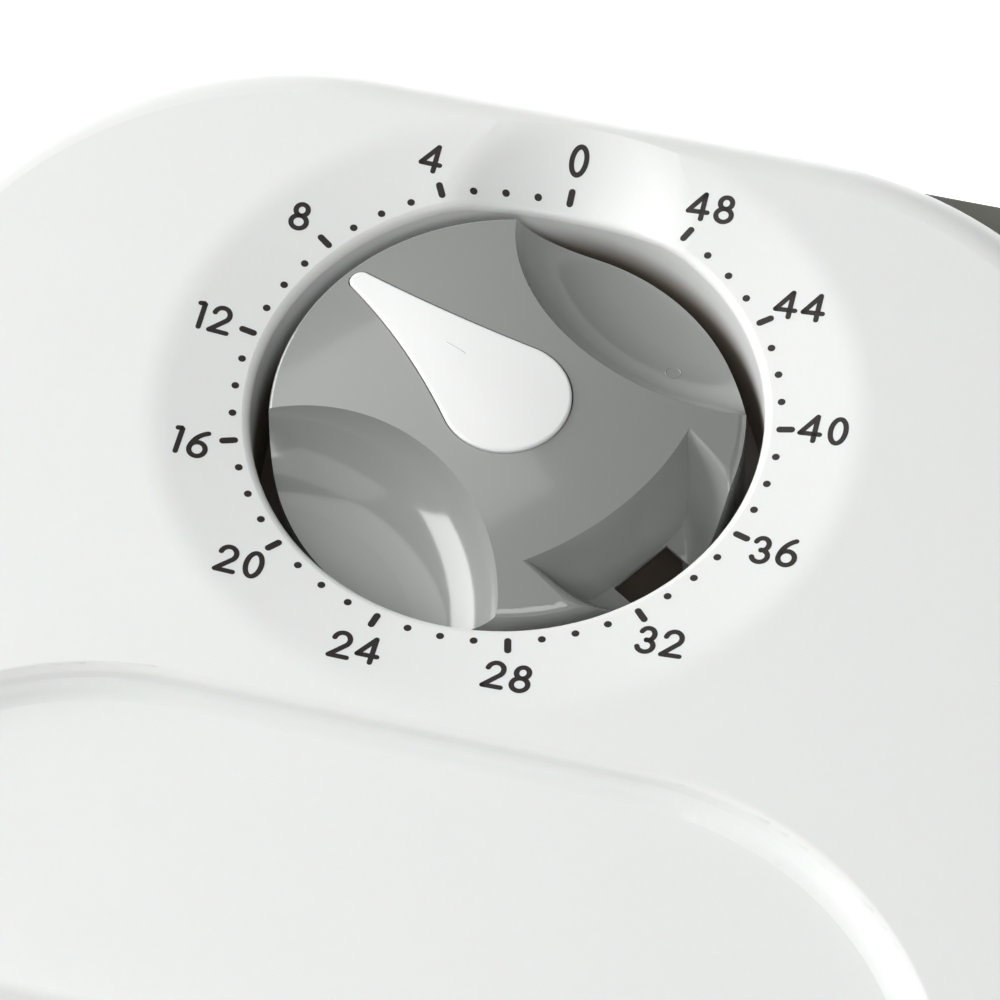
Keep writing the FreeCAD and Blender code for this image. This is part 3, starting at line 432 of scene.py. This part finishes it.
ink_black = ink("scale_ink")
case_body = body_of(nodes["top_cover"])[0]
knob_body = body_of(nodes["knob"])[0]
ink_lift = 0.012 * MM
ink_sink = 0.05 * MM
mark_lift = 0.03 * MM
gate_lift = 0.02 * MM


def polar(radius, angle):
    return dial_centre.x + radius * cos(angle), dial_centre.y + radius * sin(angle)


def mark_angle(number):
    return pi / 2 + scale_turn + number * unit


def make_dots():
    bm = bmesh.new()
    radius = 0.40 * MM
    sides = 20
    turns = [2 * pi * i / sides for i in range(sides)]
    for number in range(divisions):
        if number % numbered_every == 0 or number > last_number:
            continue
        x, y = polar(marks_radius, mark_angle(number))
        rim = [Vector((x + radius * cos(a), y + radius * sin(a))) for a in turns]
        top = [lay(bm, cover_surface, p, ink_lift) for p in rim]
        low = [lay(bm, cover_surface, p, -ink_sink) for p in rim]
        bm.faces.new(top)
        bm.faces.new(list(reversed(low)))
        for i in range(sides):
            j = (i + 1) % sides
            bm.faces.new((top[i], low[i], low[j], top[j]))
    finish_mesh("scale_dots", bm, ink_black, case_body)


def make_bars():
    bm = bmesh.new()
    half_length = 0.60 * MM
    half_width = 0.36 * MM
    for number in range(0, last_number + 1, numbered_every):
        a = mark_angle(number)
        x0, y0 = polar(bar_radius - half_length, a)
        x1, y1 = polar(bar_radius + half_length, a)
        add_stroke(bm, cover_surface, line_points(x0, y0, x1, y1, 3), half_width, ink_lift, ink_sink)
    finish_mesh("scale_bars", bm, ink_black, case_body)


def turned_about(cx, cy, x, y):
    dx, dy = x - cx, y - cy
    return (cx + dx * cos(scale_turn) - dy * sin(scale_turn), cy + dx * sin(scale_turn) + dy * cos(scale_turn))


def make_numeral(number):
    """One number, upright to the reader, centred outside its bar."""
    bm = bmesh.new()
    height = 2.95 * MM
    half_width = 0.275 * MM
    gap = 0.30 * height
    text = str(number)
    glyphs = [digit_strokes(c) for c in text]
    total = sum(width * height for _, width in glyphs) + gap * (len(text) - 1)
    cx, cy = polar(numeral_radius, mark_angle(number))
    x = cx - total / 2
    for strokes, width in glyphs:
        for path in strokes:
            placed = [turned_about(cx, cy, x + px * height, cy + (py - 0.5) * height) for px, py in path]
            add_stroke(bm, cover_surface, placed, half_width, ink_lift, ink_sink)
        x += width * height + gap
    finish_mesh("scale_number_%02d" % number, bm, ink_black, case_body)


def make_mould_mark(x, y, radius, width):
    """A small round witness mark left by the mould in a finger recess, standing very slightly proud."""
    bm = bmesh.new()
    sides = 28
    turns = [2 * pi * i / sides for i in range(sides)]
    inner = [Vector((x + (radius - width) * cos(a), y + (radius - width) * sin(a))) for a in turns]
    outer = [Vector((x + radius * cos(a), y + radius * sin(a))) for a in turns]
    add_band(bm, knob_surface, inner, outer, mark_lift, ink_sink)
    finish_mesh("knob_mould_mark", bm, materials["knob_grey"], knob_body, True)


def make_gate_mark(x, y, length, half_width, angle):
    """The short raised trace where the pointer's plastic entered its mould."""
    bm = bmesh.new()
    dx, dy = length / 2 * cos(angle), length / 2 * sin(angle)
    add_stroke(bm, pointer_surface, line_points(x - dx, y - dy, x + dx, y + dy, 5), half_width,
               gate_lift, ink_sink)
    finish_mesh("pointer_gate_mark", bm, materials["pointer_white"], knob_body, True)


make_dots()
make_bars()
make_mould_mark(*polar(18.8 * MM, radians(39.0)), 0.9 * MM, 0.18 * MM)
make_gate_mark(*polar(8.1 * MM, radians(144.5)), 2.4 * MM, 0.09 * MM, radians(-24.0))
for number in range(0, last_number + 1, numbered_every):
    make_numeral(number)


# ---------------------------------------------------------------- floor, light and camera
def make_floor():
    """A large pale floor, bright enough to run to white behind the object."""
    bm = bmesh.new()
    half = 3.0
    corners = [(-half, -half), (half, -half), (half, half), (-half, half)]
    bm.faces.new([bm.verts.new((x, y, 0)) for x, y in corners])
    mesh = bpy.data.meshes.new("floor")
    bm.to_mesh(mesh)
    bm.free()
    floor = bpy.data.objects.new("floor", mesh)
    bpy.context.scene.collection.objects.link(floor)
    material, tree, shader = new_material("floor_white")
    tinted(tree, shader, (0.9, 0.9, 0.9), 0.01, noise(tree, 3.0))
    shader.inputs["Roughness"].default_value = 0.9
    shader.inputs["Emission Color"].default_value = (1, 1, 1, 1)
    shader.inputs["Emission Strength"].default_value = 1.0
    mesh.materials.append(material)


def aim(obj, target):
    direction = target - obj.location
    obj.rotation_euler = direction.to_track_quat("-Z", "Y").to_euler()


def softbox(name, azimuth, elevation, distance, width, height, power):
    """A flat lamp that looks at the dial, placed by compass angle and height as seen from it."""
    lamp = bpy.data.lights.new(name, "AREA")
    lamp.shape = "RECTANGLE"
    lamp.size = width
    lamp.size_y = height
    lamp.energy = power
    obj = bpy.data.objects.new(name, lamp)
    bpy.context.scene.collection.objects.link(obj)
    a, e = radians(azimuth), radians(elevation)
    target = Vector((dial_centre.x, dial_centre.y, flat_top))
    obj.location = target + distance * Vector((cos(e) * cos(a), cos(e) * sin(a), sin(e)))
    aim(obj, target)


def make_sky(strength):
    world = bpy.data.worlds.new("studio")
    bpy.context.scene.world = world
    world.use_nodes = True
    background = world.node_tree.nodes["Background"]
    background.inputs["Color"].default_value = (1.0, 1.0, 1.0, 1)
    background.inputs["Strength"].default_value = strength


def make_camera():
    """The camera's place is given from the dial: where it aims, how far, from which side and how high."""
    azimuth, elevation, roll = radians(-17.15), radians(56.88), radians(-3.17)
    distance = 502.8 * MM
    target = Vector((dial_centre.x + 2.16 * MM, dial_centre.y - 11.07 * MM, marks_z))
    forward = Vector((cos(elevation) * sin(azimuth), cos(elevation) * cos(azimuth), -sin(elevation)))
    level_right = Vector((forward.y, -forward.x, 0)).normalized()
    level_up = level_right.cross(forward)
    right = level_right * cos(roll) + level_up * sin(roll)
    up = right.cross(forward)
    lens = bpy.data.cameras.new("camera")
    lens.sensor_width = 36.0
    lens.lens = 179.75
    camera = bpy.data.objects.new("camera", lens)
    bpy.context.scene.collection.objects.link(camera)
    place = Matrix((right, up, -forward)).transposed().to_4x4()
    place.translation = target - forward * distance
    camera.matrix_world = place
    bpy.context.scene.camera = camera


make_floor()
make_sky(0.04)
softbox("key_left", 170, 18, 1.2, 1.35, 0.8, 24.2)
softbox("fill_front", 290, 46, 1.2, 0.7, 0.7, 6.2)
softbox("top_left", 140, 58, 1.2, 0.7, 0.7, 2.4)
softbox("top_front", 235, 60, 1.2, 0.7, 0.7, 1.6)
softbox("rim_right", 0, 60, 1.2, 0.7, 0.7, 1.3)
make_camera()
scene = bpy.context.scene
scene.view_settings.view_transform = "Standard"
scene.view_settings.look = "None"
